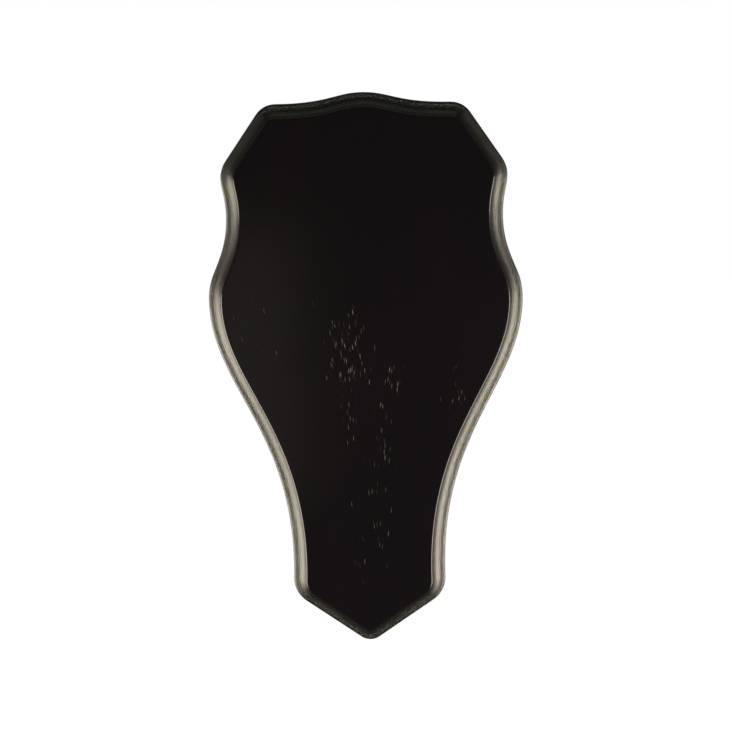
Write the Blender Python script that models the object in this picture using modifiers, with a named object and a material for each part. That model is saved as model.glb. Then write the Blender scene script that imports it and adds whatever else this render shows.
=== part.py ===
"""Blank wooden trophy plaque: a shield-shaped hardwood board with a routed edge, hung on the
wall by a steel keyhole plate let into its back, with felt pads that keep it off the wall.

It is modelled as it hangs: +Z is up and the face looks along -Y. The origin is the middle
of the board's flat back, half way up.
"""

import math

import bmesh
import bpy
from mathutils import Vector
from mathutils.geometry import interpolate_bezier

MM = 0.001

# Gap between pieces that touch, and how far a cutter stands out of what it cuts.
GAP = 0.3 * MM
OVERSHOOT = 1.0 * MM

# Shield outline: widths between the corners of each pair, taken before they are rounded.
TOP_WIDTH = 91.7 * MM
EAR_WIDTH = 130.3 * MM
WAIST_WIDTH = 128.0 * MM
FULL_WIDTH = 146.2 * MM
FOOT_WIDTH = 72.9 * MM

# Shield outline: heights, stacked from the crest down to the tip.
CREST_RISE = 4.9 * MM
EAR_DROP = 27.8 * MM
WAIST_DROP = 23.4 * MM
WIDE_DROP = 38.9 * MM
FLANK_LENGTH = 141.1 * MM
POINT_DROP = 25.3 * MM

# Corner radii of the face, inside the routed edge, and radius of the bulge at the full width.
TOP_FACE_RADIUS = 4.0 * MM
EAR_FACE_RADIUS = 8.5 * MM
FOOT_FACE_RADIUS = 7.2 * MM
TIP_FACE_RADIUS = 0.8 * MM
BULGE_RADIUS = 32.1 * MM

# Directions, in degrees anticlockwise from +X, that the right side takes on its way up.
FOOT_ANGLE = 91.9
BULGE_TURN = 23.0
EAR_ANGLE = 103.1

# How far the two handles of each free curve reach, as shares of the distance it spans.
FLANK_PULL = (0.52, 0.30)
WAIST_PULL = (0.31, 0.43)
EAR_PULL = (0.49, 0.27)
CREST_PULL = (0.62, 0.31)

# Board, and its edge from the outside in: rounded rim, flat, cove, step and rounded arris.
BOARD_THICKNESS = 18.0 * MM
RIM_ROUND = 0.8 * MM
RIM_FLAT = 1.2 * MM
COVE_WIDTH = 4.3 * MM
COVE_DEPTH = 5.2 * MM
STEP_DEPTH = 0.9 * MM
ARRIS_ROUND = 0.5 * MM

# Keyhole hanger plate. The drop is from the crest to the middle of the plate.
PLATE_DROP = 40.0 * MM
PLATE_LENGTH = 45.0 * MM
PLATE_WIDTH = 16.0 * MM
PLATE_THICKNESS = 1.5 * MM
KEY_ENTRY_DIAMETER = 9.0 * MM
KEY_SLOT_WIDTH = 5.0 * MM
KEY_TRAVEL = 9.0 * MM
SCREW_INSET = 5.5 * MM

# Room in the board, behind the plate, for the head of the wall screw.
POCKET_DEPTH = 6.0 * MM
POCKET_MARGIN = 1.2 * MM

# Countersunk wood screws that hold the plate.
SCREW_LENGTH = 12.7 * MM
SCREW_POINT = 3.2 * MM
SHANK_DIAMETER = 2.9 * MM
HEAD_DIAMETER = 5.6 * MM
HEAD_RIM = 0.2 * MM
HEAD_CONE = 1.1 * MM
DRIVE_SPAN = 3.0 * MM
DRIVE_WIDTH = 0.7 * MM
DRIVE_DEPTH = 0.9 * MM

# Round felt pads. The inset is from the side of the board to the pad's rim.
PAD_DIAMETER = 14.0 * MM
PAD_THICKNESS = 2.0 * MM
PAD_INSET = 9.0 * MM
UPPER_PAD_DROP = 38.0 * MM
LOWER_PAD_RISE = 48.0 * MM

# Fineness of the faceted shapes.
CORNER_STEP = 7.5
FREE_CURVE_STEPS = 8
FLANK_STEPS = 18
RIM_STEPS = 3
COVE_STEPS = 6
ARRIS_STEPS = 2
ROUND_SIDES = 32
SMOOTH_ANGLE = 32.0
WELD = 0.001 * MM

# Sizes that follow from the ones above.
EDGE_WIDTH = RIM_ROUND + RIM_FLAT + COVE_WIDTH + ARRIS_ROUND
EDGE_DEPTH = COVE_DEPTH + STEP_DEPTH + ARRIS_ROUND
DROPS = (CREST_RISE, EAR_DROP, WAIST_DROP, WIDE_DROP, FLANK_LENGTH, POINT_DROP)
TIP_RADIUS = TIP_FACE_RADIUS + EDGE_WIDTH
TIP_SLOPE = math.atan2(POINT_DROP, FOOT_WIDTH / 2)
BOARD_HEIGHT = sum(DROPS) - TIP_RADIUS * (1 / math.cos(TIP_SLOPE) - 1)
PLATE_Z = BOARD_HEIGHT / 2 - PLATE_DROP
SCREW_REACH = PLATE_LENGTH / 2 - SCREW_INSET


def direction(degrees):
    """Unit vector in the plane of an outline."""
    return Vector((math.cos(math.radians(degrees)), math.sin(math.radians(degrees))))


def angle_between(start, end):
    """Direction in degrees from one point to another."""
    return math.degrees(math.atan2(end.y - start.y, end.x - start.x))


def arc(centre, radius, start, end, steps):
    """Points round a circle from one angle to another, both in degrees."""
    turn = (end - start) / steps
    return [centre + radius * direction(start + turn * i) for i in range(steps + 1)]


def corner_arc(corner, angle_in, angle_out, radius):
    """Arc that rounds a left-hand corner between two straight directions."""
    turn = angle_out - angle_in
    start = corner - radius * math.tan(math.radians(turn) / 2) * direction(angle_in)
    centre = start + radius * direction(angle_in + 90)
    steps = 2 * math.ceil(turn / (2 * CORNER_STEP))
    return arc(centre, radius, angle_in - 90, angle_out - 90, steps)


def free_curve(start, angle_in, end, angle_out, pull, steps):
    """Cubic curve between two points, without the first, leaving and arriving as given."""
    span = (end - start).length
    handle_in = start + pull[0] * span * direction(angle_in)
    handle_out = end - pull[1] * span * direction(angle_out)
    points = interpolate_bezier(start, handle_in, handle_out, end, steps + 1)
    return [point.to_2d() for point in points[1:]]


def half_outline():
    """Right half of the shield, from the middle of the tip up to the crest."""
    heights = [BOARD_HEIGHT / 2]
    for drop in DROPS:
        heights.append(heights[-1] - drop)
    crest_z, top_z, ear_z, waist_z, wide_z, foot_z, tip_z = heights
    crest = Vector((0, crest_z))
    top = Vector((TOP_WIDTH / 2, top_z))
    ear = Vector((EAR_WIDTH / 2, ear_z))
    waist = Vector((WAIST_WIDTH / 2, waist_z))
    wide = Vector((FULL_WIDTH / 2, wide_z))
    foot = Vector((FOOT_WIDTH / 2, foot_z))
    tip = Vector((0, tip_z))
    slope = angle_between(tip, foot)
    shoulder = angle_between(ear, top)

    tip_arc = corner_arc(tip, -slope, slope, TIP_RADIUS)
    foot_arc = corner_arc(foot, slope, FOOT_ANGLE, FOOT_FACE_RADIUS + EDGE_WIDTH)
    bulge_steps = math.ceil(BULGE_TURN / CORNER_STEP)
    bulge_centre = wide - Vector((BULGE_RADIUS, 0))
    bulge_arc = arc(bulge_centre, BULGE_RADIUS, 0, BULGE_TURN, bulge_steps)
    bulge_end = bulge_arc[-1]
    bulge_angle = 90 + BULGE_TURN
    ear_arc = corner_arc(ear, EAR_ANGLE, shoulder, EAR_FACE_RADIUS + EDGE_WIDTH)
    top_arc = corner_arc(top, shoulder, 180, TOP_FACE_RADIUS + EDGE_WIDTH)

    points = tip_arc[len(tip_arc) // 2 :] + foot_arc
    points += free_curve(foot_arc[-1], FOOT_ANGLE, wide, 90, FLANK_PULL, FLANK_STEPS)
    points += bulge_arc[1:]
    points += free_curve(bulge_end, bulge_angle, waist, 90, WAIST_PULL, FREE_CURVE_STEPS)
    points += free_curve(waist, 90, ear_arc[0], EAR_ANGLE, EAR_PULL, FREE_CURVE_STEPS)
    points += ear_arc[1:] + top_arc
    points += free_curve(top_arc[-1], 180, crest, 180, CREST_PULL, FREE_CURVE_STEPS)
    return points


def shield_outline():
    """The right half, and its mirror image from the crest back down to the tip."""
    half = half_outline()
    mirrored = [Vector((-point.x, point.y)) for point in reversed(half[1:-1])]
    return half + mirrored


def half_width(height):
    """Half the board's width at a height above the origin."""
    half = half_outline()
    for low, high in zip(half, half[1:]):
        if low.y <= height <= high.y:
            return low.x + (high.x - low.x) * (height - low.y) / (high.y - low.y)
    return 0.0


def edge_profile():
    """Routed edge as (inset, height) from the back, up the side and in over the cove."""
    rim = BOARD_THICKNESS - EDGE_DEPTH
    points = [Vector((0, 0))]
    points += arc(Vector((RIM_ROUND, rim - RIM_ROUND)), RIM_ROUND, 180, 90, RIM_STEPS)
    for i in range(COVE_STEPS + 1):
        turn = math.radians(90 * i / COVE_STEPS)
        inset = RIM_ROUND + RIM_FLAT + COVE_WIDTH * math.sin(turn)
        points.append(Vector((inset, rim + COVE_DEPTH * (1 - math.cos(turn)))))
    arris_centre = Vector((EDGE_WIDTH, BOARD_THICKNESS - ARRIS_ROUND))
    points += arc(arris_centre, ARRIS_ROUND, 180, 90, ARRIS_STEPS)
    return points


def stadium(width, low, high):
    """Outline of a slot with round ends, whose end circles are centred at low and high."""
    radius = width / 2
    steps = ROUND_SIDES // 2
    top = arc(Vector((0, high)), radius, 0, 180, steps)
    bottom = arc(Vector((0, low)), radius, 180, 360, steps)
    return top + bottom


def new_material(name, colour, roughness, metallic):
    """Principled material with one colour."""
    material = bpy.data.materials.new(name)
    material.use_nodes = True
    shader = material.node_tree.nodes["Principled BSDF"]
    shader.inputs["Base Color"].default_value = (*colour, 1.0)
    shader.inputs["Roughness"].default_value = roughness
    shader.inputs["Metallic"].default_value = metallic
    return material


def line_curve(name, points, closed):
    """2D curve object through the given points."""
    curve = bpy.data.curves.new(name, "CURVE")
    curve.dimensions = "2D"
    spline = curve.splines.new("POLY")
    spline.points.add(len(points) - 1)
    for target, point in zip(spline.points, points):
        target.co = (point.x, point.y, 0, 1)
    spline.use_cyclic_u = closed
    return bpy.data.objects.new(name, curve)


def solid_from_curve(shape, collection):
    """Replaces a filled curve by a mesh object with the same name and welded caps."""
    collection.objects.link(shape)
    depsgraph = bpy.context.evaluated_depsgraph_get()
    mesh = bpy.data.meshes.new_from_object(shape.evaluated_get(depsgraph))
    welded = bmesh.new()
    welded.from_mesh(mesh)
    bmesh.ops.remove_doubles(welded, verts=welded.verts, dist=WELD)
    welded.to_mesh(mesh)
    welded.free()
    name = shape.name
    bpy.data.objects.remove(shape)
    solid = bpy.data.objects.new(name, mesh)
    collection.objects.link(solid)
    return solid


def face_the_room(solid, y):
    """Stands a shape drawn in XY upright, with its +Z towards the room, at a given Y."""
    solid.rotation_euler = (math.radians(90), 0, 0)
    solid.location.y = y


def slab(name, outline, front, back, collection):
    """Upright plate of the given outline between two Y positions."""
    shape = line_curve(name, outline, True)
    shape.data.fill_mode = "BOTH"
    shape.data.extrude = (back - front) / 2
    solid = solid_from_curve(shape, collection)
    face_the_room(solid, (front + back) / 2)
    return solid


def turned(name, profile, collection):
    """Body of revolution about Y, from (radius, y) points that run from back to front."""
    mesh = bpy.data.meshes.new(name)
    edges = [(i, i + 1) for i in range(len(profile) - 1)]
    mesh.from_pydata([(radius, 0, y) for radius, y in profile], edges, [])
    solid = bpy.data.objects.new(name, mesh)
    solid.rotation_euler = (math.radians(-90), 0, 0)
    collection.objects.link(solid)
    turn = solid.modifiers.new("turn", "SCREW")
    turn.axis = "Z"
    turn.steps = ROUND_SIDES
    turn.render_steps = ROUND_SIDES
    turn.use_merge_vertices = True
    turn.merge_threshold = WELD
    return solid


def cylinder(name, radius, depth, collection):
    """Round bar along Y, centred on the origin."""
    mesh = bpy.data.meshes.new(name)
    shape = bmesh.new()
    bmesh.ops.create_cone(
        shape, cap_ends=True, segments=ROUND_SIDES, radius1=radius, radius2=radius, depth=depth
    )
    shape.to_mesh(mesh)
    shape.free()
    solid = bpy.data.objects.new(name, mesh)
    solid.rotation_euler = (math.radians(90), 0, 0)
    collection.objects.link(solid)
    return solid


def block(name, size, collection):
    """Box centred on the origin."""
    mesh = bpy.data.meshes.new(name)
    shape = bmesh.new()
    bmesh.ops.create_cube(shape, size=1.0)
    bmesh.ops.scale(shape, vec=size, verts=shape.verts)
    shape.to_mesh(mesh)
    shape.free()
    solid = bpy.data.objects.new(name, mesh)
    collection.objects.link(solid)
    return solid


def cut(solid, cutter):
    """Takes the cutter's shape out of the solid and keeps the cutter out of the render."""
    modifier = solid.modifiers.new(cutter.name, "BOOLEAN")
    modifier.operation = "DIFFERENCE"
    modifier.solver = "EXACT"
    modifier.object = cutter
    cutter.hide_render = True
    cutter.display_type = "WIRE"


def finish(solid, material, parent):
    """Gives a piece its material, smooth shading and parent."""
    solid.data.materials.append(material)
    solid.data.shade_smooth()
    solid.data.set_sharp_from_angle(angle=math.radians(SMOOTH_ANGLE))
    solid.parent = parent


def make_board(collection, cutters):
    """Shield board with its routed edge; the profile curve is swept round the outline."""
    profile = line_curve("edge_profile", edge_profile(), False)
    cutters.objects.link(profile)
    profile.hide_render = True
    profile.display_type = "WIRE"
    shape = line_curve("shield_board", shield_outline(), True)
    shape.data.fill_mode = "BOTH"
    shape.data.bevel_mode = "OBJECT"
    shape.data.bevel_object = profile
    board = solid_from_curve(shape, collection)
    face_the_room(board, 0)
    return board


def plate_outline(margin):
    """Outline of the hanger plate, grown by a margin."""
    reach = (PLATE_LENGTH - PLATE_WIDTH) / 2
    return stadium(PLATE_WIDTH + 2 * margin, PLATE_Z - reach, PLATE_Z + reach)


def make_plate(collection, cutters):
    """Keyhole plate, flush with the board's back: round entry below, narrow slot above."""
    plate = slab("hanger_plate", plate_outline(0), -PLATE_THICKNESS, 0, collection)
    through = PLATE_THICKNESS + 2 * OVERSHOOT
    entry = cylinder("key_entry_cutter", KEY_ENTRY_DIAMETER / 2, through, cutters)
    entry.location = (0, -PLATE_THICKNESS / 2, PLATE_Z - KEY_TRAVEL / 2)
    cut(plate, entry)
    ends = (PLATE_Z - KEY_TRAVEL / 2, PLATE_Z + KEY_TRAVEL / 2)
    outline = stadium(KEY_SLOT_WIDTH, *ends)
    slot = slab(
        "key_slot_cutter", outline, -PLATE_THICKNESS - OVERSHOOT, OVERSHOOT, cutters
    )
    cut(plate, slot)
    return plate


def cut_plate_seat(board, cutters):
    """Recess that takes the plate, and the deeper pocket for the wall screw's head."""
    floor = -PLATE_THICKNESS - GAP
    recess = slab("recess_cutter", plate_outline(GAP), floor, OVERSHOOT, cutters)
    cut(board, recess)
    ends = (PLATE_Z - KEY_TRAVEL / 2, PLATE_Z + KEY_TRAVEL / 2)
    outline = stadium(KEY_ENTRY_DIAMETER + 2 * POCKET_MARGIN, *ends)
    pocket = slab("pocket_cutter", outline, floor - POCKET_DEPTH, OVERSHOOT, cutters)
    cut(board, pocket)


def screw_profile(clearance, rise):
    """Countersunk screw as (radius, y), grown by a clearance, its top raised by a rise.

    The point grows by twice the clearance, which leaves that clearance square to its cone.
    """
    head = HEAD_DIAMETER / 2 + clearance
    shank = SHANK_DIAMETER / 2 + clearance
    rim = -HEAD_RIM - clearance
    tip = -SCREW_LENGTH - 2 * clearance
    return [
        (0, rise),
        (head, rise),
        (head, rim),
        (shank, rim - HEAD_CONE),
        (shank, tip + SCREW_POINT),
        (0, tip),
    ]


def make_screw(name, z, collection, cutters):
    """One plate screw, with a cross in its head."""
    screw = turned(name, screw_profile(0, 0), collection)
    screw.location.z = z
    for arm, size in (
        ("upright", (DRIVE_WIDTH, 2 * DRIVE_DEPTH, DRIVE_SPAN)),
        ("level", (DRIVE_SPAN, 2 * DRIVE_DEPTH, DRIVE_WIDTH)),
    ):
        cross = block(f"{name}_{arm}_cutter", size, cutters)
        cross.location.z = z
        cut(screw, cross)
    return screw


def screw_hole_cutter(name, z, cutters):
    """Countersunk hole and pilot hole of one screw."""
    cutter = turned(f"{name}_hole_cutter", screw_profile(GAP, OVERSHOOT), cutters)
    cutter.location.z = z
    return cutter


def make_pad(name, side, z, collection):
    """Felt pad on the board's back, just clear of it."""
    pad = cylinder(name, PAD_DIAMETER / 2, PAD_THICKNESS, collection)
    x = half_width(z) - PAD_INSET - PAD_DIAMETER / 2
    pad.location = (side * x, GAP + PAD_THICKNESS / 2, z)
    return pad


def main():
    """Clears the scene and builds the plaque."""
    for old in list(bpy.data.objects):
        bpy.data.objects.remove(old)

    parts = bpy.data.collections.new("trophy_plaque")
    cutters = bpy.data.collections.new("cutters")
    for collection in (parts, cutters):
        bpy.context.scene.collection.children.link(collection)
    origin = bpy.data.objects.new("plaque_origin", None)
    parts.objects.link(origin)

    wood = new_material("black_stained_oak", (0.012, 0.010, 0.009), 0.42, 0.0)
    steel = new_material("zinc_plated_steel", (0.62, 0.63, 0.65), 0.35, 1.0)
    felt = new_material("grey_felt", (0.16, 0.16, 0.17), 0.95, 0.0)

    board = make_board(parts, cutters)
    cut_plate_seat(board, cutters)
    plate = make_plate(parts, cutters)
    for name, side in (("hanger_screw_upper", 1), ("hanger_screw_lower", -1)):
        z = PLATE_Z + side * SCREW_REACH
        hole = screw_hole_cutter(name, z, cutters)
        cut(board, hole)
        cut(plate, hole)
        finish(make_screw(name, z, parts, cutters), steel, origin)
    finish(board, wood, origin)
    finish(plate, steel, origin)

    rows = (
        ("upper", BOARD_HEIGHT / 2 - UPPER_PAD_DROP),
        ("lower", LOWER_PAD_RISE - BOARD_HEIGHT / 2),
    )
    for row, z in rows:
        for hand, side in (("left", -1), ("right", 1)):
            finish(make_pad(f"felt_pad_{row}_{hand}", side, z, parts), felt, origin)


main()
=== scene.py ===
"""Looks of the blank trophy plaque: fine meshes, procedural materials, light and camera."""

import math

import bpy
import numpy as np
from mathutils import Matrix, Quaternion, Vector, noise
from mathutils.geometry import delaunay_2d_cdt
from mathutils.kdtree import KDTree


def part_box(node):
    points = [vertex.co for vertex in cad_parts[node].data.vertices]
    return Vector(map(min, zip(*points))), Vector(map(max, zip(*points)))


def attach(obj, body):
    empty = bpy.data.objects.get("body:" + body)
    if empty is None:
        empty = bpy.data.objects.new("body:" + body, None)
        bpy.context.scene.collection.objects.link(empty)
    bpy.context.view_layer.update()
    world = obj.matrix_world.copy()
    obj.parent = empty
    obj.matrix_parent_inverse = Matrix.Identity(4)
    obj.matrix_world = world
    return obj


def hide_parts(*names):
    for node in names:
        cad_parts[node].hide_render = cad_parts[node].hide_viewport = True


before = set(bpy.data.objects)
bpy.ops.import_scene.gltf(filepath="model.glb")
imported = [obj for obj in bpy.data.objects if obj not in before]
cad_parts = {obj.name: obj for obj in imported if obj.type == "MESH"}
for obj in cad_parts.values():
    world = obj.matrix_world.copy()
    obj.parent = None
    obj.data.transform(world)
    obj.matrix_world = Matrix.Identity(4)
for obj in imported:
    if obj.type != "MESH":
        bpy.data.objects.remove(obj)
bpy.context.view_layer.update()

MM = 0.001
BODY = "root"

# Shield outline, as in the CAD model.
TOP_WIDTH = 91.7 * MM
EAR_WIDTH = 130.3 * MM
WAIST_WIDTH = 128.0 * MM
FULL_WIDTH = 146.2 * MM
FOOT_WIDTH = 72.9 * MM
CREST_RISE = 4.9 * MM
EAR_DROP = 27.8 * MM
WAIST_DROP = 23.4 * MM
WIDE_DROP = 38.9 * MM
FLANK_LENGTH = 141.1 * MM
POINT_DROP = 25.3 * MM
TOP_FACE_RADIUS = 4.0 * MM
EAR_FACE_RADIUS = 8.5 * MM
FOOT_FACE_RADIUS = 7.2 * MM
TIP_FACE_RADIUS = 0.8 * MM
BULGE_RADIUS = 32.1 * MM
FOOT_ANGLE = 91.9
BULGE_TURN = 23.0
EAR_ANGLE = 103.1
FLANK_PULL = (0.52, 0.30)
WAIST_PULL = (0.31, 0.43)
EAR_PULL = (0.49, 0.27)
CREST_PULL = (0.62, 0.31)

# Board section, with a softened back edge and a rim that is sanded round over part of its flat.
BOARD_THICKNESS = 18.0 * MM
BACK_ROUND = 0.5 * MM
RIM_ROUND = 0.8 * MM
RIM_FLAT = 1.2 * MM
COVE_WIDTH = 4.3 * MM
COVE_DEPTH = 5.2 * MM
STEP_DEPTH = 0.9 * MM
ARRIS_ROUND = 0.5 * MM
SANDED_SHARE = 0.3
EDGE_WIDTH = RIM_ROUND + RIM_FLAT + COVE_WIDTH + ARRIS_ROUND
EDGE_DEPTH = COVE_DEPTH + STEP_DEPTH + ARRIS_ROUND
RIM_HEIGHT = BOARD_THICKNESS - EDGE_DEPTH

# Hanger hardware and its seat in the back.
GAP = 0.3 * MM
PLATE_LENGTH = 45.0 * MM
PLATE_WIDTH = 16.0 * MM
PLATE_THICKNESS = 1.5 * MM
PLATE_ROUND = 0.3 * MM
KEY_ENTRY_DIAMETER = 9.0 * MM
KEY_SLOT_WIDTH = 5.0 * MM
KEY_TRAVEL = 9.0 * MM
KEY_ROUND = 0.2 * MM
SCREW_INSET = 5.5 * MM
POCKET_DEPTH = 6.0 * MM
POCKET_MARGIN = 1.2 * MM
MOUTH_EASE = 0.2 * MM
SCREW_LENGTH = 12.7 * MM
SCREW_POINT = 3.2 * MM
SHANK_DIAMETER = 2.9 * MM
POINT_RADIUS = 0.06 * MM
HEAD_DIAMETER = 5.6 * MM
HEAD_EASE = 0.07 * MM
HEAD_RIM = 0.2 * MM
HEAD_CONE = 1.1 * MM
PLATE_Z = sum(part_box("hanger_plate")[i].z for i in (0, 1)) / 2

# Thread and cross recess of the screws.
THREAD_DEPTH = 0.42 * MM
THREAD_PITCH = 1.25 * MM
THREAD_STEP = 0.1 * MM
DRIVE_SPAN = (3.0 * MM, 1.3 * MM)
DRIVE_WIDTH = (0.75 * MM, 0.5 * MM)
DRIVE_DEPTH = 0.9 * MM

# Felt pads.
PAD_ROUND = 0.35 * MM
PAD_NAP = 0.035

# Mesh fineness.
OUTLINE_STEP = 0.7 * MM
FACE_STEP = 2.0 * MM
BACK_STEP = 3.0 * MM
ROUND_SIDES = 72
SLOT_STEPS = 8
PLATE_STEP = 1.2 * MM
SCREW_STEP = 0.6 * MM
FELT_STEP = 0.45 * MM
SLIVER = 0.001
FLUSH = 0.03 * MM

# Marks that the router left in the edge: streaks along it and torn end grain.
STREAK_DEPTH = 0.05
TEAR_DEPTH = 0.07

# Stain on the wood, in linear colour, from the face to the sunken pores.
FACE_STAIN_DARK = (0.0072, 0.0078, 0.0098, 1)
FACE_STAIN_LIGHT = (0.0112, 0.0072, 0.0104, 1)
POROUS_STAIN = (0.0100, 0.0078, 0.0102, 1)
END_GRAIN_STAIN = (0.012, 0.012, 0.009, 1)
SIDE_STAIN = (0.012, 0.009, 0.0075, 1)
BACK_STAIN_DARK = (0.007, 0.0055, 0.0045, 1)
BACK_STAIN_LIGHT = (0.046, 0.031, 0.021, 1)
PALE_PORE = (0.23, 0.21, 0.21, 1)

# Refractive index of the finish. The moulding's is higher than a real lacquer's: it keeps the
# routed edge bright under lights dim enough for the flat face to be nearly black from the front.
# From about 45 degrees the face mirrors a softbox and turns grey.
FLAT_GLOSS = 1.4
MOULDING_GLOSS = 2.6

# Where the finish changes, as Y in mm: bare side to lacquer, moulding to face, side to back.
LACQUER_FROM = (-9.8, -10.5)
FACE_FROM = (-17.4, -17.8)
BACK_FROM = (-1.2, -0.2)

# Growth rings in mm: distance of the pith behind the back, its slope up the board, ring width.
PITH_DEPTH = 58.0
PITH_SLOPE = 0.12
RING_WIDTH = 3.6

# Zinc plating and felt, in linear colour.
ZINC_WARM = (0.60, 0.60, 0.57, 1)
ZINC_BLUE = (0.66, 0.68, 0.72, 1)
# Painted shade for the screws' recesses and the inside of the keyhole.
ZINC_PAINTED_SHADE = (0.16, 0.155, 0.15, 1)
WOOL_DARK = (0.12, 0.12, 0.125, 1)
WOOL_LIGHT = (0.44, 0.43, 0.42, 1)
WOOL_MOTTLE = (0.20, 0.20, 0.205, 1)

# Patches of pale pores: centre x and z, width and height in mm, and share of pores shown.
PALE_PATCHES = (
    (-9, 9, 30, 56, 0.8),
    (12, -1, 18, 34, 0.5),
    (7, -24, 14, 60, 0.35),
    (-8, -22, 12, 50, 0.35),
    (2, -72, 34, 120, 0.1),
    (43, -9, 22, 48, 0.25),
    (-42, 28, 70, 80, 0.05),
)

# Studio.
CAMERA_PLACE = (0.0136, -0.7907, 0.12685)
CAMERA_TARGET = (-0.00045, 0, 0.00145)
CAMERA_LENS = 82.9
CAMERA_ROLL = -0.86
LIGHT_DISTANCE = 0.6
ROOM_LIGHT = 0.02
WARM = (1.0, 0.9, 0.72)
OLIVE = (0.96, 1.0, 0.75)
FLOOR_LEVEL = -0.6
FLOOR_RADIUS = 6.0


# ------------------------------------------------------------ outlines, as rows of (x, z)


def unit(degrees):
    """Unit vectors in the plane of an outline."""
    angle = np.radians(degrees)
    return np.stack([np.cos(angle), np.sin(angle)], axis=-1)


def arc(centre, radius, start, end, steps=None):
    """Points round a circle between two angles in degrees."""
    steps = steps or max(3, math.ceil(math.radians(abs(end - start)) * radius / OUTLINE_STEP))
    return np.array(centre) + radius * unit(np.linspace(start, end, steps + 1))


def corner_arc(corner, angle_in, angle_out, radius):
    """Arc that rounds a left-hand corner between two straight directions."""
    start = corner - radius * math.tan(math.radians(angle_out - angle_in) / 2) * unit(angle_in)
    return arc(start + radius * unit(angle_in + 90), radius, angle_in - 90, angle_out - 90)


def straight(start, end, steps=None):
    """Points along a straight run, without its two ends."""
    steps = steps or max(2, math.ceil(np.linalg.norm(end - start) / OUTLINE_STEP))
    return start + np.linspace(0, 1, steps + 1)[1:-1, None] * (end - start)


def free_curve(start, angle_in, end, angle_out, pull):
    """Cubic curve between two points, without the first."""
    span = np.linalg.norm(end - start)
    near = start + pull[0] * span * unit(angle_in)
    far = end - pull[1] * span * unit(angle_out)
    t = np.linspace(0, 1, math.ceil(span / OUTLINE_STEP) + 1)[1:, None]
    s = 1 - t
    return s**3 * start + 3 * s**2 * t * near + 3 * s * t**2 * far + t**3 * end


def half_outline():
    """Right half of the shield, from the middle of the tip up to the crest."""
    drops = (CREST_RISE, EAR_DROP, WAIST_DROP, WIDE_DROP, FLANK_LENGTH, POINT_DROP)
    widths = (0, TOP_WIDTH, EAR_WIDTH, WAIST_WIDTH, FULL_WIDTH, FOOT_WIDTH, 0)
    tip_radius = TIP_FACE_RADIUS + EDGE_WIDTH
    slope = math.atan2(POINT_DROP, FOOT_WIDTH / 2)
    height = sum(drops) - tip_radius * (1 / math.cos(slope) - 1)
    levels = height / 2 - np.cumsum((0, *drops))
    crest, top, ear, waist, wide, foot, tip = np.stack([np.array(widths) / 2, levels], axis=1)
    slope = math.degrees(slope)
    shoulder = math.degrees(math.atan2(top[1] - ear[1], top[0] - ear[0]))

    tip_arc = corner_arc(tip, -slope, slope, tip_radius)
    tip_arc = tip_arc[tip_arc[:, 0] > OUTLINE_STEP / 2]
    foot_arc = corner_arc(foot, slope, FOOT_ANGLE, FOOT_FACE_RADIUS + EDGE_WIDTH)
    bulge = arc(wide - (BULGE_RADIUS, 0), BULGE_RADIUS, 0, BULGE_TURN)
    ear_arc = corner_arc(ear, EAR_ANGLE, shoulder, EAR_FACE_RADIUS + EDGE_WIDTH)
    top_arc = corner_arc(top, shoulder, 180, TOP_FACE_RADIUS + EDGE_WIDTH)
    return np.concatenate([
        [(0, -height / 2)],
        tip_arc,
        straight(tip_arc[-1], foot_arc[0]),
        foot_arc,
        free_curve(foot_arc[-1], FOOT_ANGLE, wide, 90, FLANK_PULL),
        bulge[1:],
        free_curve(bulge[-1], 90 + BULGE_TURN, waist, 90, WAIST_PULL),
        free_curve(waist, 90, ear_arc[0], EAR_ANGLE, EAR_PULL),
        ear_arc[1:],
        straight(ear_arc[-1], top_arc[0]),
        top_arc,
        free_curve(top_arc[-1], 180, crest, 180, CREST_PULL),
    ])


def shield_outline():
    """The right half and its mirror image, anticlockwise from the tip."""
    half = half_outline()
    return np.concatenate([half, half[-2:0:-1] * (-1, 1)])


def outward(loop):
    """Unit normals of an anticlockwise loop."""
    along = np.roll(loop, -1, axis=0) - np.roll(loop, 1, axis=0)
    along /= np.linalg.norm(along, axis=1)[:, None]
    return along[:, ::-1] * (1, -1)


def circle(radius, z=0.0, x=0.0):
    """Round outline."""
    return np.array((x, z)) + radius * unit(np.arange(ROUND_SIDES) * 360 / ROUND_SIDES)


def stadium(width, low, high):
    """Outline of a slot with round ends centred at two heights."""
    side = straight(np.array((width / 2, low)), np.array((width / 2, high)))
    top = arc((0, high), width / 2, 0, 180, ROUND_SIDES // 2)
    bottom = arc((0, low), width / 2, 180, 360, ROUND_SIDES // 2)
    return np.concatenate([side, top, side[::-1] * (-1, 1), bottom])


def keyhole(grow):
    """Round entry below with the narrow slot running up out of it."""
    entry = KEY_ENTRY_DIAMETER / 2 + grow
    slot = KEY_SLOT_WIDTH / 2 + grow
    low, high = PLATE_Z - KEY_TRAVEL / 2, PLATE_Z + KEY_TRAVEL / 2
    open_from = math.degrees(math.acos(slot / entry))
    round_entry = arc((0, low), entry, 180 - open_from, 360 + open_from, ROUND_SIDES)
    side = straight(round_entry[-1], np.array((slot, high)), SLOT_STEPS)
    top = arc((0, high), slot, 0, 180, ROUND_SIDES // 2)
    return np.concatenate([round_entry, side, top, side[::-1] * (-1, 1)])


def cross(span, width, z):
    """Outline of the cross in a screw head."""
    a, b = span / 2, width / 2
    arm = np.array([(a, -b), (a, b), (b, b)])
    turns = [arm @ np.array([[c, s], [-s, c]]) for c, s in ((1, 0), (0, 1), (-1, 0), (0, -1))]
    return np.concatenate(turns) + (0, z)


# ------------------------------------------------------------ meshes


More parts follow.
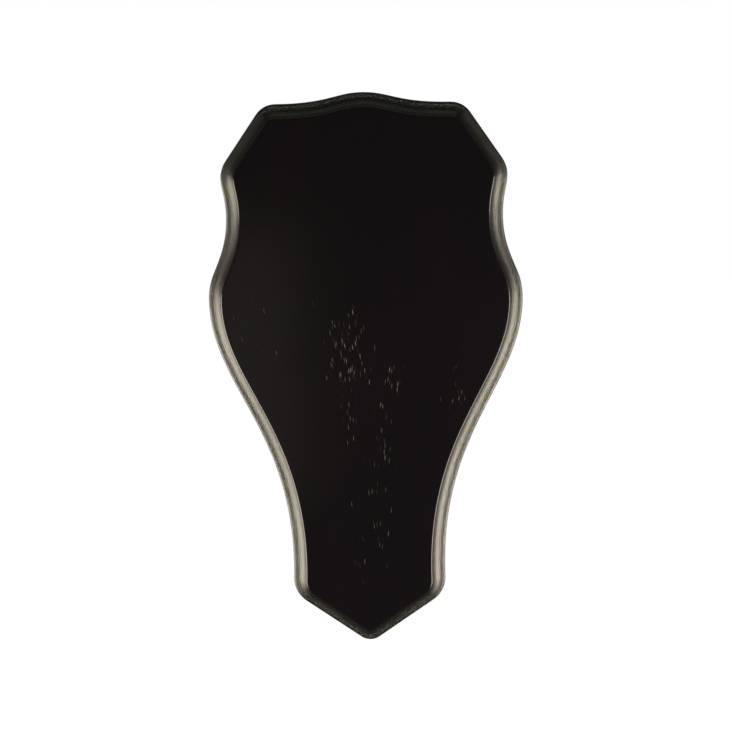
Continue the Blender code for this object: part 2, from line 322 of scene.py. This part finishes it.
class Shell:
    """Vertices and faces of one closed piece, put together loop by loop.

    Loops round the outside run anticlockwise as seen from the room, and loops round a hole
    run clockwise. Bands go from the wall side towards the room.
    """

    def __init__(self):
        self.points = []
        self.faces = []

    def loop(self, outline, y, hole=False):
        """Adds a loop at one Y, or at one Y for each point, and gives its vertex numbers."""
        first = len(self.points)
        outline = outline[::-1] if hole else outline
        depth = np.broadcast_to(y, len(outline))
        self.points.extend(zip(outline[:, 0], depth, outline[:, 1]))
        return list(range(first, len(self.points)))

    def band(self, near_wall, near_room):
        """Quads between two loops with the same number of points."""
        for i in range(len(near_wall)):
            self.faces.append((near_wall[i - 1], near_wall[i], near_room[i], near_room[i - 1]))

    def tube(self, sections, hole=False):
        """Bands through several (outline, y) sections. Gives the first and last loop."""
        loops = [self.loop(outline, y, hole) for outline, y in sections]
        for near_wall, near_room in zip(loops, loops[1:]):
            self.band(near_wall, near_room)
        return loops[0], loops[-1]

    def cap(self, loops, facing, spacing=None):
        """Flat cover inside the first loop and outside the others; +1 faces the wall."""
        rim = [n for loop in loops for n in loop]
        y = self.points[rim[0]][1]
        parts = [np.array([self.points[n] for n in loop])[:, (0, 2)] / MM for loop in loops]
        edges = []
        for part in parts:
            edges += [(len(edges) + i, len(edges) + (i + 1) % len(part)) for i in range(len(part))]
        places = [Vector(p) for part in parts for p in part]
        if spacing:
            places += spread(parts, spacing / MM)
        made, _, triangles, origins, _, _ = delaunay_2d_cdt(places, edges, [], 0, 1e-7)
        numbers = []
        for place, origin in zip(made, origins):
            known = [i for i in origin if i < len(rim)]
            numbers.append(rim[known[0]] if known else len(self.points))
            if not known:
                self.points.append((place.x * MM, y, place.y * MM))
        made = np.array(made)
        triangles = np.array(triangles)
        middles = made[triangles].mean(axis=1)
        keep = covered(middles, parts[0])
        for part in parts[1:]:
            keep &= ~covered(middles, part)
        for (a, b, c), kept in zip(triangles, keep):
            one, two = made[b] - made[a], made[c] - made[a]
            area = one[0] * two[1] - one[1] * two[0]
            if kept and abs(area) > SLIVER * max(one @ one, two @ two):
                corners = (numbers[a], numbers[b], numbers[c])
                self.faces.append(corners if area * facing < 0 else corners[::-1])

    def build(self, name, material, smooth_angle=40.0):
        """Turns the shell into a smooth-shaded object with its material."""
        mesh = bpy.data.meshes.new(name)
        mesh.from_pydata(self.points, [], self.faces)
        mesh.materials.append(material)
        mesh.validate()
        mesh.shade_smooth()
        mesh.set_sharp_from_angle(angle=math.radians(smooth_angle))
        piece = bpy.data.objects.new(name, mesh)
        bpy.context.scene.collection.objects.link(piece)
        return piece


def covered(points, loop):
    """Which of the points lie inside a closed loop."""
    x, z = points[:, 0], points[:, 1]
    hit = np.zeros(len(points), bool)
    for (x0, z0), (x1, z1) in zip(loop, np.roll(loop, -1, axis=0)):
        if z0 != z1:
            hit ^= ((z0 > z) != (z1 > z)) & (x < x0 + (z - z0) * (x1 - x0) / (z1 - z0))
    return hit


def spread(loops, spacing):
    """Points of a triangular grid between the loops, kept clear of all of them."""
    edge = np.concatenate(loops)
    tree = KDTree(len(edge))
    for i, (x, z) in enumerate(edge):
        tree.insert((x, z, 0), i)
    tree.balance()
    low, high = loops[0].min(axis=0), loops[0].max(axis=0)
    rows = np.arange(low[1], high[1], spacing * math.sqrt(3) / 2)
    grid = np.array([
        (x + spacing / 2 * (row % 2), z)
        for row, z in enumerate(rows)
        for x in np.arange(low[0], high[0], spacing)
    ])
    keep = covered(grid, loops[0])
    for hole in loops[1:]:
        keep &= ~covered(grid, hole)
    return [Vector(p) for p in grid[keep] if tree.find((*p, 0))[2] > 0.55 * spacing]


def grain_noise(points, stretch, seed):
    """Smooth noise from -1 to 1 at rows of 3-D points, stretched by a size for each axis."""
    scaled = points / np.array(stretch) + seed
    return np.array([noise.noise(Vector(p)) for p in scaled])


def own(piece, node):
    """The piece stands for its CAD node and rides on the body."""
    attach(piece, BODY)
    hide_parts(node)


# ------------------------------------------------------------ board


def quarter(centre, radii, start, end, steps):
    """Rounded stretch of the section, between two angles in degrees."""
    return np.array(centre) + np.array(radii) * unit(np.linspace(start, end, steps + 1))


def edge_section():
    """Edge of the board as (inset, height) from the back up the side and over the cove."""
    cove_top = RIM_HEIGHT + COVE_DEPTH
    side = np.linspace(BACK_ROUND, RIM_HEIGHT - RIM_ROUND, 10)[1:-1]
    sanded = RIM_ROUND + SANDED_SHARE * RIM_FLAT
    flat = np.linspace(sanded, RIM_ROUND + RIM_FLAT, 4)[1:-1]
    step = np.linspace(cove_top, BOARD_THICKNESS - ARRIS_ROUND, 4)[1:-1]
    arris = (EDGE_WIDTH, BOARD_THICKNESS - ARRIS_ROUND)
    return np.concatenate([
        quarter((BACK_ROUND, BACK_ROUND), (BACK_ROUND, BACK_ROUND), 270, 180, 4),
        np.stack([0 * side, side], axis=1),
        quarter((sanded, RIM_HEIGHT - RIM_ROUND), (sanded, RIM_ROUND), 180, 90, 9),
        np.stack([flat, 0 * flat + RIM_HEIGHT], axis=1),
        quarter((RIM_ROUND + RIM_FLAT, cove_top), (COVE_WIDTH, COVE_DEPTH), 270, 360, 16),
        np.stack([0 * step + EDGE_WIDTH - ARRIS_ROUND, step], axis=1),
        quarter(arris, (ARRIS_ROUND, ARRIS_ROUND), 180, 90, 5),
    ])


def board_edge(shell):
    """Edge of the board with the router's marks. Gives its first and last loop and its fields.

    The fields say, for each vertex, how far across the section it is in mm, how much end grain
    it shows, and whether the router shaped it.
    """
    outline = shield_outline()
    normal = outward(outline)
    section = edge_section()
    slope = np.gradient(section, axis=0)
    slope /= np.linalg.norm(slope, axis=1)[:, None]
    steps = np.linalg.norm(np.diff(section, axis=0), axis=1)
    across = np.concatenate([[0], np.cumsum(steps)])
    end_grain = np.abs(normal[:, 1])
    loops = []
    shaped = []
    for k, (inset, height) in enumerate(section):
        flat = outline - inset * normal
        place = np.insert(flat, 1, -height, axis=1) / MM
        routed = float(RIM_HEIGHT - RIM_ROUND < height < BOARD_THICKNESS - ARRIS_ROUND)
        streak = grain_noise(place + (0, across[k] / MM * 9, 0), (14, 4, 14), 3.1)
        tear = grain_noise(place, (1.1, 0.6, 1.1), 7.7) * end_grain
        depth = routed * MM * (STREAK_DEPTH * abs(streak) + TEAR_DEPTH * np.maximum(tear, 0))
        flat = flat + (depth * -slope[k, 1])[:, None] * normal
        loops.append(shell.loop(flat, -height + depth * slope[k, 0]))
        shaped.append(routed)
    for low, high in zip(loops, loops[1:]):
        shell.band(low, high)
    fields = {
        "across": np.repeat(across / MM, len(outline)),
        "end_grain": np.tile(end_grain, len(section)),
        "routed": np.repeat(shaped, len(outline)),
    }
    return loops[0], loops[-1], fields


def plate_outline(grow):
    """Outline of the hanger plate, grown by a margin."""
    reach = (PLATE_LENGTH - PLATE_WIDTH) / 2
    return stadium(PLATE_WIDTH + 2 * grow, PLATE_Z - reach, PLATE_Z + reach)


def screw_heights():
    """Heights of the two plate screws, the upper one first."""
    reach = PLATE_LENGTH / 2 - SCREW_INSET
    return PLATE_Z + reach, PLATE_Z - reach


def plate_seat(shell):
    """Recess for the plate, pocket for the wall screw's head and pilot holes. Gives its mouth."""
    floor = -PLATE_THICKNESS - GAP
    mouth, recess = shell.tube(
        [
            (plate_outline(GAP + MOUTH_EASE), 0),
            (plate_outline(GAP), -MOUTH_EASE),
            (plate_outline(GAP), floor),
        ],
        hole=True,
    )
    low, high = PLATE_Z - KEY_TRAVEL / 2, PLATE_Z + KEY_TRAVEL / 2
    width = KEY_ENTRY_DIAMETER + 2 * POCKET_MARGIN
    pocket = [(stadium(width, low, high), floor), (stadium(width, low, high), floor - POCKET_DEPTH)]
    pocket_mouth, pocket_floor = shell.tube(pocket, hole=True)
    shell.cap([pocket_floor[::-1]], +1)
    pilot = SHANK_DIAMETER / 2 + GAP
    bottom = -SCREW_LENGTH - GAP
    mouths = [pocket_mouth]
    for z in screw_heights():
        hole, end = shell.tube(
            [
                (circle(pilot, z), floor),
                (circle(pilot, z), bottom + SCREW_POINT),
                (circle(GAP, z), bottom),
            ],
            hole=True,
        )
        shell.cap([end[::-1]], +1)
        mouths.append(hole)
    shell.cap([recess[::-1], *mouths], +1)
    return mouth


def make_board(flat_oak, routed_oak):
    """Shield board with its routed edge and the seat of the hanger."""
    shell = Shell()
    back, face, fields = board_edge(shell)
    shell.cap([face], -1, FACE_STEP)
    shell.cap([back, plate_seat(shell)], +1, BACK_STEP)
    board = shell.build("oak_shield_board", flat_oak)
    board.data.materials.append(routed_oak)
    for polygon in board.data.polygons:
        routed = RIM_HEIGHT - RIM_ROUND < -polygon.center.y < BOARD_THICKNESS - FLUSH
        polygon.material_index = int(routed)
    for name, values in fields.items():
        field = board.data.attributes.new(name, "FLOAT", "POINT")
        full = np.zeros(len(board.data.vertices))
        full[: len(values)] = values
        field.data.foreach_set("value", full)
    own(board, "shield_board")


# ------------------------------------------------------------ hardware and pads


def rounded_edge(outline_at, near_wall, near_room, radius, steps=4):
    """Sections of a slab whose two edges are rounded; outline_at takes an inset."""
    sections = []
    for angle in np.linspace(90, 0, steps + 1):
        c, s = unit(angle)
        sections.append((outline_at(radius * (1 - c)), near_wall - radius * (1 - s)))
    for angle in np.linspace(0, 90, steps + 1):
        c, s = unit(angle)
        sections.append((outline_at(radius * (1 - c)), near_room + radius * (1 - s)))
    return sections


def make_plate(material):
    """Stamped keyhole plate with eased edges and two countersunk holes."""
    shell = Shell()
    sections = rounded_edge(lambda inset: plate_outline(-inset), 0, -PLATE_THICKNESS, PLATE_ROUND)
    back, front = shell.tube(sections)
    backs, fronts = [back], [front]
    sections = rounded_edge(keyhole, 0, -PLATE_THICKNESS, KEY_ROUND)
    back, front = shell.tube(sections, hole=True)
    backs.append(back)
    fronts.append(front)
    wide, narrow = HEAD_DIAMETER / 2 + GAP, SHANK_DIAMETER / 2 + GAP
    for z in screw_heights():
        cone = wide + (narrow - wide) * (PLATE_THICKNESS - HEAD_RIM - GAP) / HEAD_CONE
        sections = [
            (circle(wide, z), 0),
            (circle(wide, z), -HEAD_RIM - GAP),
            (circle(cone, z), -PLATE_THICKNESS),
        ]
        back, front = shell.tube(sections, hole=True)
        backs.append(back)
        fronts.append(front)
    shell.cap(backs, +1, PLATE_STEP)
    shell.cap(fronts, -1, PLATE_STEP)
    own(shell.build("keyhole_plate", material, 30), "hanger_plate")


def thread_outline(y, z):
    """Section of the threaded shank at one depth."""
    shank = SHANK_DIAMETER / 2
    taper = min(1.0, (y + SCREW_LENGTH) / SCREW_POINT)
    turn = np.arange(ROUND_SIDES) / ROUND_SIDES
    height = np.abs(2 * ((y / THREAD_PITCH + turn) % 1) - 1)
    fade = min(1.0, max(0.0, (-y - HEAD_RIM - HEAD_CONE) / THREAD_PITCH))
    depth = THREAD_DEPTH * fade * (1 - height**2)
    radius = np.maximum(shank * taper - depth * (0.35 + 0.65 * taper), 0.08 * MM)
    return (0, z) + radius[:, None] * unit(turn * 360)


def carve(piece, cutter):
    """Takes the cutter out of the piece for good."""
    cut = piece.modifiers.new("carve", "BOOLEAN")
    cut.operation = "DIFFERENCE"
    cut.object = cutter
    depsgraph = bpy.context.evaluated_depsgraph_get()
    carved = bpy.data.meshes.new_from_object(piece.evaluated_get(depsgraph))
    piece.modifiers.clear()
    piece.data = carved
    bpy.data.objects.remove(cutter)


def make_screw(node, z, material):
    """Countersunk wood screw: dished cross head, cone and rolled thread."""
    shell = Shell()
    rim = HEAD_DIAMETER / 2
    sections = [
        (circle(rim - HEAD_EASE, z), 0),
        (circle(rim, z), -HEAD_EASE),
        (circle(rim, z), -HEAD_RIM),
    ]
    levels = np.arange(-HEAD_RIM - HEAD_CONE, -SCREW_LENGTH, -THREAD_STEP)
    sections += [(thread_outline(y, z), y) for y in levels]
    sections.append((circle(POINT_RADIUS, z), -SCREW_LENGTH))
    head, point = shell.tube(sections)
    shell.cap([head], +1, SCREW_STEP)
    shell.cap([point], -1)
    screw = shell.build(node.replace("hanger", "plate"), material, 30)
    drive = Shell()
    top, bottom = drive.tube([
        (cross(DRIVE_SPAN[0], DRIVE_WIDTH[0], z), DRIVE_DEPTH / 9),
        (cross(DRIVE_SPAN[1], DRIVE_WIDTH[1], z), -DRIVE_DEPTH),
    ])
    drive.cap([top], +1)
    drive.cap([bottom], -1)
    carve(screw, drive.build("drive_cutter", material))
    screw.data.shade_smooth()
    screw.data.set_sharp_from_angle(angle=math.radians(30))
    own(screw, node)


def make_pad(node, material):
    """Punched felt disc with a soft rim and an uneven, fibrous surface."""
    low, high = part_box(node)
    centre = (low + high) / 2
    radius = (high.x - low.x) / 2
    shell = Shell()
    sections = rounded_edge(
        lambda inset: circle(radius - inset, centre.z, centre.x), high.y, low.y, PAD_ROUND, 5
    )
    for share in np.linspace(1, 0, 6)[1:-1]:
        level = low.y + PAD_ROUND + share * (high.y - low.y - 2 * PAD_ROUND)
        sections.insert(-6, (circle(radius, centre.z, centre.x), level))
    back, front = shell.tube(sections)
    shell.cap([back], +1, FELT_STEP)
    shell.cap([front], -1, FELT_STEP)
    points = np.array(shell.points)
    nap = grain_noise(points / MM, (0.8, 0.8, 0.8), 11.3) + grain_noise(points / MM, (2, 2, 2), 5.9)
    shell.points = points + (np.array(centre) - points) * (PAD_NAP * np.abs(nap))[:, None]
    pad = shell.build(node.replace("felt_pad", "felt_disc"), material, 60)
    own(pad, node)


# ------------------------------------------------------------ materials


class Graph:
    """Short-hand for the node tree of one material."""

    def __init__(self, name):
        self.material = bpy.data.materials.new(name)
        self.material.use_nodes = True
        self.tree = self.material.node_tree
        self.shader = self.tree.nodes["Principled BSDF"]

    def fill(self, socket, value):
        """Links a socket into an input, or sets the input's value."""
        if isinstance(value, bpy.types.NodeSocket):
            self.tree.links.new(value, socket)
        else:
            socket.default_value = value

    def node(self, kind, inputs=None, **settings):
        """Adds a node with its properties and inputs."""
        made = self.tree.nodes.new(f"ShaderNode{kind}")
        for key, value in settings.items():
            setattr(made, key, value)
        for key, value in (inputs or {}).items():
            self.fill(made.inputs[key], value)
        return made

    def math(self, operation, a, b=0.0, c=0.0):
        """Result of a Math node."""
        return self.node("Math", {0: a, 1: b, 2: c}, operation=operation).outputs[0]

    def place(self, scale):
        """Position on the object, in units of 1/scale metres, with a scale for each axis."""
        coordinates = self.node("TexCoord").outputs["Object"]
        inputs = {0: coordinates, 1: tuple(scale)}
        return self.node("VectorMath", inputs, operation="MULTIPLY").outputs[0]

    def offset(self, vector, move):
        """Vector plus another vector."""
        return self.node("VectorMath", {0: vector, 1: move}, operation="ADD").outputs[0]

    def noise(self, vector, scale=1.0, detail=3.0, roughness=0.5):
        """Noise from about 0 to 1."""
        inputs = {"Vector": vector, "Scale": scale, "Detail": detail, "Roughness": roughness}
        return self.node("TexNoise", inputs).outputs["Fac"]

    def cells(self, vector, dimensions="3D"):
        """Distance to the middle of the nearest cell, and two random numbers of that cell."""
        inputs = {"Vector": vector, "Scale": 1.0}
        voronoi = self.node("TexVoronoi", inputs, voronoi_dimensions=dimensions)
        split = self.node("SeparateColor", {0: voronoi.outputs["Color"]})
        return voronoi.outputs["Distance"], split.outputs[0], split.outputs[2]

    def remap(self, value, from_low, from_high, to_low=0.0, to_high=1.0):
        """Smooth step between two values, held outside them."""
        inputs = {0: value, 1: from_low, 2: from_high, 3: to_low, 4: to_high}
        return self.node("MapRange", inputs, interpolation_type="SMOOTHSTEP").outputs[0]

    def mix(self, share, low, high):
        """Colour between two colours."""
        inputs = {0: share, 6: low, 7: high}
        return self.node("Mix", inputs, data_type="RGBA").outputs[2]

    def field(self, name):
        """A value that the mesh carries."""
        return self.node("Attribute", attribute_name=name).outputs["Fac"]

    def bump(self, height):
        """Normal from a height in millimetres."""
        return self.node("Bump", {"Height": height, "Distance": MM}).outputs[0]

    def finish(self, **inputs):
        """Fills the shader's inputs and gives the material."""
        for key, value in inputs.items():
            self.fill(self.shader.inputs[key.replace("_", " ")], value)
        return self.material


def island(graph, x, z, width, height):
    """Falls from 1 at a place on the board to 0 at an ellipse round it."""
    place = graph.place((2 / (width * MM), 0, 2 / (height * MM)))
    inputs = {0: graph.offset(place, (-2 * x / width, 0, -2 * z / height))}
    length = graph.node("VectorMath", inputs, operation="LENGTH").outputs["Value"]
    return graph.remap(length, 1.0, 0.1)


def growth_rings(graph):
    """Early wood of a plain-sawn board: 1 in the porous start of each ring, 0 in late wood."""
    x, y, z = graph.node("SeparateXYZ", {0: graph.place((1 / MM,) * 3)}).outputs
    sway = graph.noise(graph.place((28, 28, 9)), detail=2.0)
    pith = graph.math("MULTIPLY_ADD", z, PITH_SLOPE, PITH_DEPTH)
    deep = graph.math("SUBTRACT", y, pith)
    side = graph.math("MULTIPLY_ADD", sway, 14.0, graph.math("ADD", x, -3.0))
    squares = graph.math("ADD", graph.math("POWER", deep, 2.0), graph.math("POWER", side, 2.0))
    ragged = graph.noise(graph.place((420, 420, 30)), detail=2.0)
    radius = graph.math("MULTIPLY_ADD", ragged, 1.6, graph.math("SQRT", squares))
    ring = graph.math("FRACT", graph.math("MULTIPLY", radius, 1 / RING_WIDTH))
    return graph.remap(ring, 0.55, 0.1)


def make_oak(name, gloss):
    """Oak stained black under a satin finish that leaves the pores open; gloss is its IOR."""
    oak = Graph(name)
    early = growth_rings(oak)
    routed = oak.field("routed")
    x, y, z = oak.node("SeparateXYZ", {0: oak.place((1 / MM,) * 3)}).outputs
    lacquered = oak.remap(y, *LACQUER_FROM)
    bare = oak.math("SUBTRACT", 1.0, lacquered)
    face = oak.remap(y, *FACE_FROM)
    end_grain = oak.math("MULTIPLY", routed, oak.remap(oak.field("end_grain"), 0.45, 0.85))

    # Fine pores everywhere in the early wood, as short upright grooves.
    distance, lot, _ = oak.cells(oak.place((1700, 1700, 260)))
    groove = oak.remap(distance, 0.42, 0.15)
    present = oak.remap(oak.math("ADD", lot, early), 1.0, 1.15)
    pores = oak.math("MULTIPLY", groove, present)

    # Larger pores where the lacquer sank in and dried pale, in a few patches of the face.
    lean = oak.remap(x, -22, 22, 0.36, -0.18)
    wander = oak.noise(oak.place((55, 0, 30)), detail=1.0)
    slant = oak.math("MULTIPLY_ADD", wander, 7.0, oak.math("MULTIPLY", lean, z))
    sideways = oak.math("MULTIPLY_ADD", x, 1.8, slant)
    upright = oak.math("MULTIPLY", z, 0.21)
    pattern = oak.node("CombineXYZ", {0: sideways, 1: upright}).outputs[0]
    distance, lot, shine = oak.cells(pattern, "2D")
    patches = 0.0
    for patch_x, patch_z, width, height, most in PALE_PATCHES:
        part = oak.math("MULTIPLY", island(oak, patch_x, patch_z, width, height), most)
        patches = oak.math("MAXIMUM", patches, part)
    chosen = oak.remap(oak.math("SUBTRACT", patches, lot), 0.0, 0.03)
    shape = oak.remap(distance, 0.38, 0.08)
    glint = oak.math("MULTIPLY", oak.math("POWER", shine, 3.5), face)
    pale = oak.math("MULTIPLY", oak.math("MULTIPLY", shape, chosen), glint)

    # Streaks that run along the routed edge, and torn fibres where it crosses the grain.
    across = oak.node("CombineXYZ", {1: oak.field("across")}).outputs[0]
    run = oak.offset(oak.place((110, 0, 110)), across)
    streaks = oak.noise(run, scale=1.9, detail=3.0, roughness=0.62)
    fibres = oak.noise(oak.place((1300, 1300, 700)), detail=3.0, roughness=0.7)
    cloud = oak.noise(oak.place((25, 25, 14)), detail=3.0)

    stain = oak.mix(cloud, FACE_STAIN_DARK, FACE_STAIN_LIGHT)
    stain = oak.mix(oak.math("MULTIPLY", early, 0.4), stain, POROUS_STAIN)
    stain = oak.mix(oak.math("MULTIPLY", end_grain, fibres), stain, END_GRAIN_STAIN)
    soaked = oak.math("MULTIPLY", early, oak.remap(fibres, 0.3, 0.7, 0.5, 1.0))
    matt = oak.mix(oak.remap(y, *BACK_FROM), SIDE_STAIN, BACK_STAIN_LIGHT)
    matt = oak.mix(soaked, matt, BACK_STAIN_DARK)
    stain = oak.mix(bare, stain, oak.mix(pores, matt, BACK_STAIN_DARK))
    stain = oak.mix(pale, stain, PALE_PORE)

    satin = oak.remap(cloud, 0.3, 0.7, 0.14, 0.18)
    satin = oak.math("MULTIPLY_ADD", routed, 0.1, satin)
    satin = oak.math("MULTIPLY_ADD", oak.math("MULTIPLY", routed, streaks), 0.2, satin)
    satin = oak.math("MULTIPLY_ADD", end_grain, -0.1, satin)
    satin = oak.math("MULTIPLY_ADD", pale, 0.3, satin)
    satin = oak.math("MULTIPLY_ADD", bare, oak.remap(soaked, 0.0, 1.0, 0.22, 0.4), satin)

    sunk = oak.math("MULTIPLY_ADD", routed, -0.006, -0.006)
    sunk = oak.math("MULTIPLY_ADD", bare, -0.04, sunk)
    height = oak.math("MULTIPLY", pores, sunk)
    height = oak.math("MULTIPLY_ADD", pale, -0.03, height)
    height = oak.math("MULTIPLY_ADD", oak.math("MULTIPLY", routed, streaks), 0.24, height)
    height = oak.math("MULTIPLY_ADD", oak.math("MULTIPLY", end_grain, fibres), 0.06, height)
    height = oak.math("MULTIPLY_ADD", fibres, 0.006, height)
    return oak.finish(Base_Color=stain, Roughness=satin, Normal=oak.bump(height), IOR=gloss)


def make_steel():
    """Bright zinc plating over cold-rolled steel: fine drawing lines, a faint bloom and painted
    shade in its recesses.
    """
    steel = Graph("zinc_plated_steel")
    lines = steel.noise(steel.place((9000, 2000, 240)), detail=4.0, roughness=0.7)
    bloom = steel.noise(steel.place((160, 160, 160)), detail=4.0, roughness=0.6)
    tint_and_shade = steel.mix(steel.remap(bloom, 0.35, 0.65), ZINC_WARM, ZINC_BLUE)
    drawn = steel.remap(lines, 0.3, 0.7, 0, 0.12)
    satin = steel.math("ADD", steel.remap(bloom, 0.3, 0.7, 0.2, 0.3), drawn)

    # Painted shade: darker in the screws' recesses and inside the keyhole, where little light
    # reaches.
    level = steel.node("SeparateXYZ", {0: steel.place((1 / MM,) * 3)}).outputs[1]
    tint_and_shade = steel.mix(steel.remap(level, -0.12, -0.6), tint_and_shade, ZINC_PAINTED_SHADE)
    height = steel.math("MULTIPLY", lines, 0.004)
    return steel.finish(Base_Color=tint_and_shade, Roughness=satin, Metallic=1.0, Normal=steel.bump(height))


def make_felt():
    """Pressed grey wool felt: tangled fibres in several greys."""
    felt = Graph("grey_wool_felt")
    fibres = 0.0
    for stretch in ((5200, 900, 900), (900, 5200, 5200), (2600, 2600, 700)):
        strand = felt.noise(felt.place(stretch), detail=3.0, roughness=0.7)
        fibres = felt.math("MAXIMUM", fibres, strand)
    mottle = felt.noise(felt.place((420, 420, 420)), detail=3.0)
    wool = felt.mix(felt.remap(fibres, 0.45, 0.75), WOOL_DARK, WOOL_LIGHT)
    wool = felt.mix(felt.remap(mottle, 0.4, 0.65, 0, 0.5), wool, WOOL_MOTTLE)
    height = felt.math("MULTIPLY_ADD", mottle, 0.1, felt.math("MULTIPLY", fibres, 0.12))
    return felt.finish(
        Base_Color=wool, Roughness=0.95, Sheen_Weight=0.35, Normal=felt.bump(height)
    )


# ------------------------------------------------------------ studio


def point_at(thing, target):
    """Turns a light or a camera to look at a point."""
    direction = Vector(target) - thing.location
    thing.rotation_mode = "QUATERNION"
    thing.rotation_quaternion = direction.to_track_quat("-Z", "Y")


def softbox(name, azimuth, elevation, width, height, radiance, colour=(1, 1, 1)):
    """Rectangular light aimed at the board; azimuth 0 is in front of it, 90 is at +X."""
    light = bpy.data.lights.new(name, "AREA")
    light.shape = "RECTANGLE"
    light.size = width
    light.size_y = height
    light.energy = radiance * math.pi * width * height
    light.color = colour
    lamp = bpy.data.objects.new(name, light)
    bpy.context.scene.collection.objects.link(lamp)
    a, e = math.radians(azimuth), math.radians(elevation)
    where = Vector((math.sin(a) * math.cos(e), -math.cos(a) * math.cos(e), math.sin(e)))
    lamp.location = where * LIGHT_DISTANCE
    lamp.visible_camera = False
    point_at(lamp, (0, 0, 0))


def make_world():
    """White behind the object, and a dim room in its reflections."""
    world = bpy.data.worlds.new("studio")
    bpy.context.scene.world = world
    world.use_nodes = True
    tree = world.node_tree
    tree.nodes.clear()
    room = tree.nodes.new("ShaderNodeBackground")
    room.inputs["Color"].default_value = (1.0, 0.98, 0.94, 1)
    room.inputs["Strength"].default_value = ROOM_LIGHT
    backdrop = tree.nodes.new("ShaderNodeBackground")
    backdrop.inputs["Color"].default_value = (1, 1, 1, 1)
    path = tree.nodes.new("ShaderNodeLightPath")
    mix = tree.nodes.new("ShaderNodeMixShader")
    output = tree.nodes.new("ShaderNodeOutputWorld")
    tree.links.new(path.outputs["Is Camera Ray"], mix.inputs[0])
    tree.links.new(room.outputs[0], mix.inputs[1])
    tree.links.new(backdrop.outputs[0], mix.inputs[2])
    tree.links.new(mix.outputs[0], output.inputs["Surface"])


def make_floor():
    """Pale studio floor, well below the hanging board."""
    floor_mesh = bpy.data.meshes.new("floor")
    rim = [(FLOOR_RADIUS * x, FLOOR_RADIUS * y, FLOOR_LEVEL) for x, y in unit(np.arange(0, 360, 5))]
    floor_mesh.from_pydata(rim, [], [tuple(range(len(rim)))])
    floor = bpy.data.objects.new("floor", floor_mesh)
    bpy.context.scene.collection.objects.link(floor)
    pale = bpy.data.materials.new("pale_floor")
    pale.use_nodes = True
    shader = pale.node_tree.nodes["Principled BSDF"]
    shader.inputs["Base Color"].default_value = (0.9, 0.9, 0.9, 1)
    shader.inputs["Emission Color"].default_value = (1, 1, 1, 1)
    shader.inputs["Emission Strength"].default_value = 1.0
    floor_mesh.materials.append(pale)
    floor.visible_glossy = False
    floor.visible_diffuse = False


def make_camera():
    """Long lens just above the middle of the board, as a product photograph is taken."""
    camera = bpy.data.cameras.new("camera")
    camera.sensor_width = 36
    camera.lens = CAMERA_LENS
    view = bpy.data.objects.new("camera", camera)
    bpy.context.scene.collection.objects.link(view)
    view.location = CAMERA_PLACE
    point_at(view, CAMERA_TARGET)
    roll = Quaternion((0, 0, 1), math.radians(CAMERA_ROLL))
    view.rotation_quaternion = view.rotation_quaternion @ roll
    bpy.context.scene.camera = view


def main():
    """Dresses the frame and lights it."""
    scene = bpy.context.scene
    scene.view_settings.view_transform = "Standard"
    make_camera()
    make_world()
    make_floor()
    softbox("right_softbox", 52, -18, 0.64, 0.45, 3.7, WARM)
    softbox("left_softbox", -70, -18, 0.95, 0.45, 3.1, WARM)
    softbox("left_glow", -13, -8, 0.14, 0.22, 0.3, WARM)
    softbox("overhead_fill", 180, 75, 0.7, 0.7, 0.1, OLIVE)
    softbox("rear_softbox_right", 150, -5, 0.5, 0.35, 1.8)
    softbox("rear_softbox_left", -150, -5, 0.5, 0.35, 1.3)
    softbox("rear_fill", 180, 0, 0.5, 0.5, 0.12)

    steel = make_steel()
    felt = make_felt()
    flat_oak = make_oak("black_stained_oak", FLAT_GLOSS)
    make_board(flat_oak, make_oak("black_stained_oak_moulding", MOULDING_GLOSS))
    make_plate(steel)
    for node, z in zip(("hanger_screw_upper", "hanger_screw_lower"), screw_heights()):
        make_screw(node, z, steel)
    for row in ("upper", "lower"):
        for hand in ("left", "right"):
            make_pad(f"felt_pad_{row}_{hand}", felt)


main()
